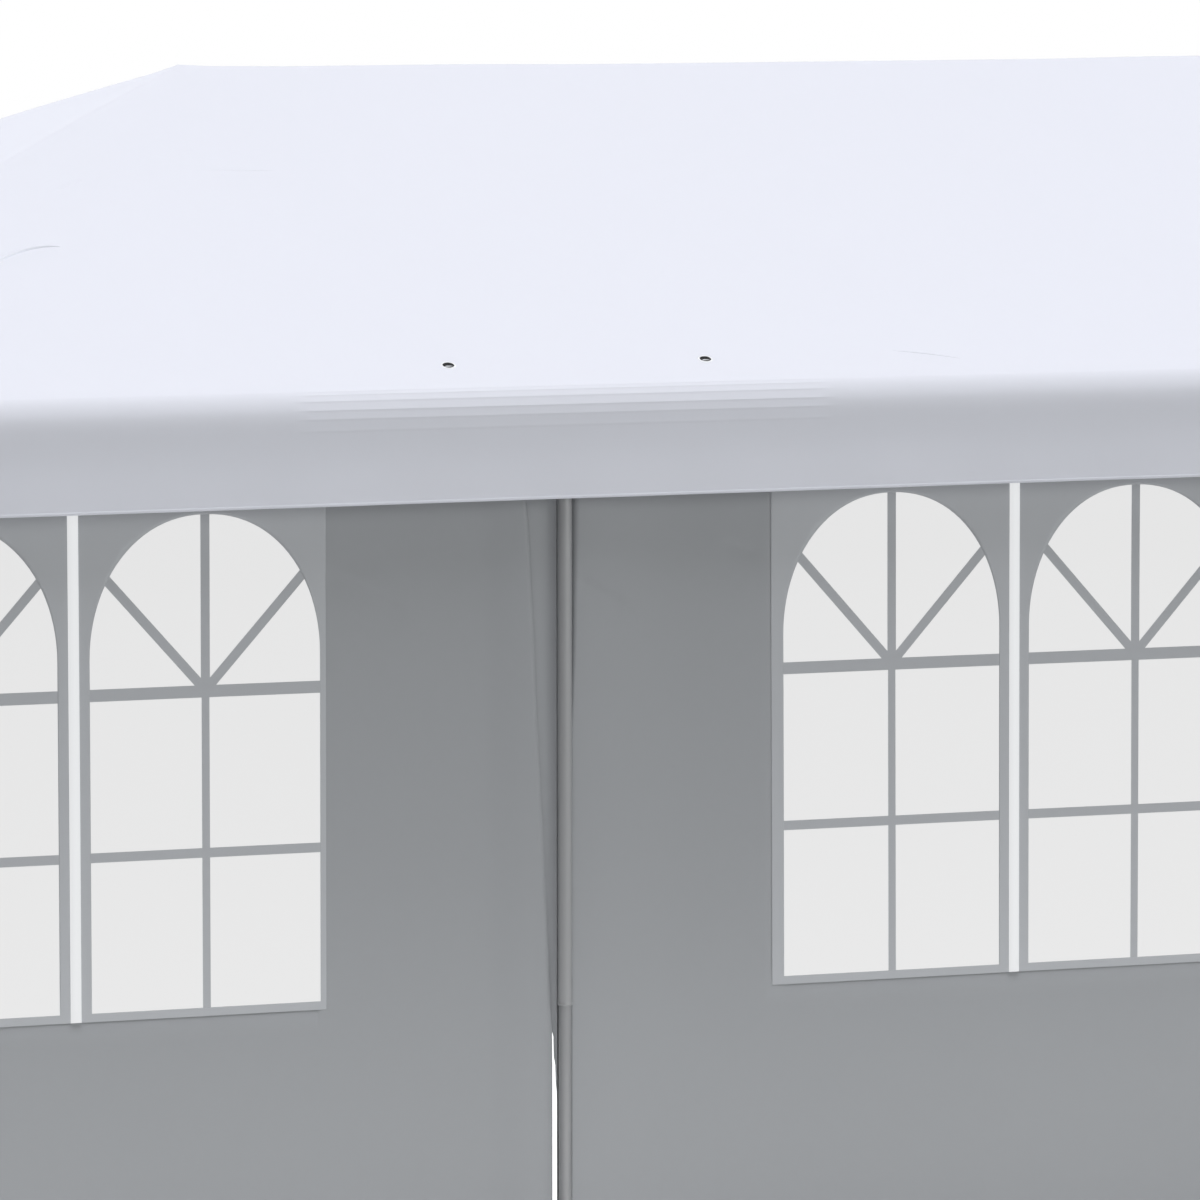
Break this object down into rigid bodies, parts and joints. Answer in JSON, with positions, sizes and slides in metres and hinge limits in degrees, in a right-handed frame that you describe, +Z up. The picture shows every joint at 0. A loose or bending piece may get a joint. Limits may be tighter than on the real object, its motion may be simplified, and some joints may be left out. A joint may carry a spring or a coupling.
{
  "type": "marquee tent",
  "caption": "Hip-roofed marquee tent: steel tube frame, roof cover with valance, wall panels with arched film windows, plain end walls.",
  "frame": {"origin": "centre of the tent at ground level", "axes": "+X along the ridge, the front wall faces -Y, +Z up"},
  "size_m": [6.08, 3.08, 2.6069],
  "materials": {
    "steel_tube": "white powder coat, satin",
    "steel_connector": "grey powder coat, satin",
    "roof_cloth": "white coated cloth, slightly glossy",
    "wall_cloth": "grey coated cloth, matte",
    "window_film": "milky clear film"
  },
  "bodies": {
    "root": {"back_eave_connector_1": "steel_connector", "back_eave_connector_2": "steel_connector", "back_eave_connector_3": "steel_connector", "back_eave_connector_4": "steel_connector", "back_eave_pole_1": "steel_tube", "back_eave_pole_2": "steel_tube", "back_eave_pole_3": "steel_tube", "back_leg_1": "steel_tube", "back_leg_2": "steel_tube", "back_leg_3": "steel_tube", "back_leg_4": "steel_tube", "back_rafter_1": "steel_tube", "back_rafter_2": "steel_tube", "back_wall_panel_1": "wall_cloth", "back_wall_panel_2": "wall_cloth", "back_wall_panel_3": "wall_cloth", "back_window_film_1": "window_film", "back_window_film_2": "window_film", "back_window_film_3": "window_film", "front_eave_connector_1": "steel_connector", "front_eave_connector_2": "steel_connector", "front_eave_connector_3": "steel_connector", "front_eave_connector_4": "steel_connector", "front_eave_pole_1": "steel_tube", "front_eave_pole_2": "steel_tube", "front_eave_pole_3": "steel_tube", "front_leg_1": "steel_tube", "front_leg_2": "steel_tube", "front_leg_3": "steel_tube", "front_leg_4": "steel_tube", "front_rafter_1": "steel_tube", "front_rafter_2": "steel_tube", "front_wall_panel_1": "wall_cloth", "front_wall_panel_2": "wall_cloth", "front_wall_panel_3": "wall_cloth", "front_window_film_1": "window_film", "front_window_film_2": "window_film", "front_window_film_3": "window_film", "left_back_hip_pole": "steel_tube", "left_eave_pole": "steel_tube", "left_end_wall": "wall_cloth", "left_front_hip_pole": "steel_tube", "left_ridge_connector": "steel_connector", "ridge_pole_1": "steel_tube", "ridge_pole_2": "steel_tube", "ridge_pole_3": "steel_tube", "ridge_tee_1": "steel_connector", "ridge_tee_2": "steel_connector", "right_back_hip_pole": "steel_tube", "right_eave_pole": "steel_tube", "right_end_wall": "wall_cloth", "right_front_hip_pole": "steel_tube", "right_ridge_connector": "steel_connector", "roof_cover": "roof_cloth"}
  },
  "joints": []
}
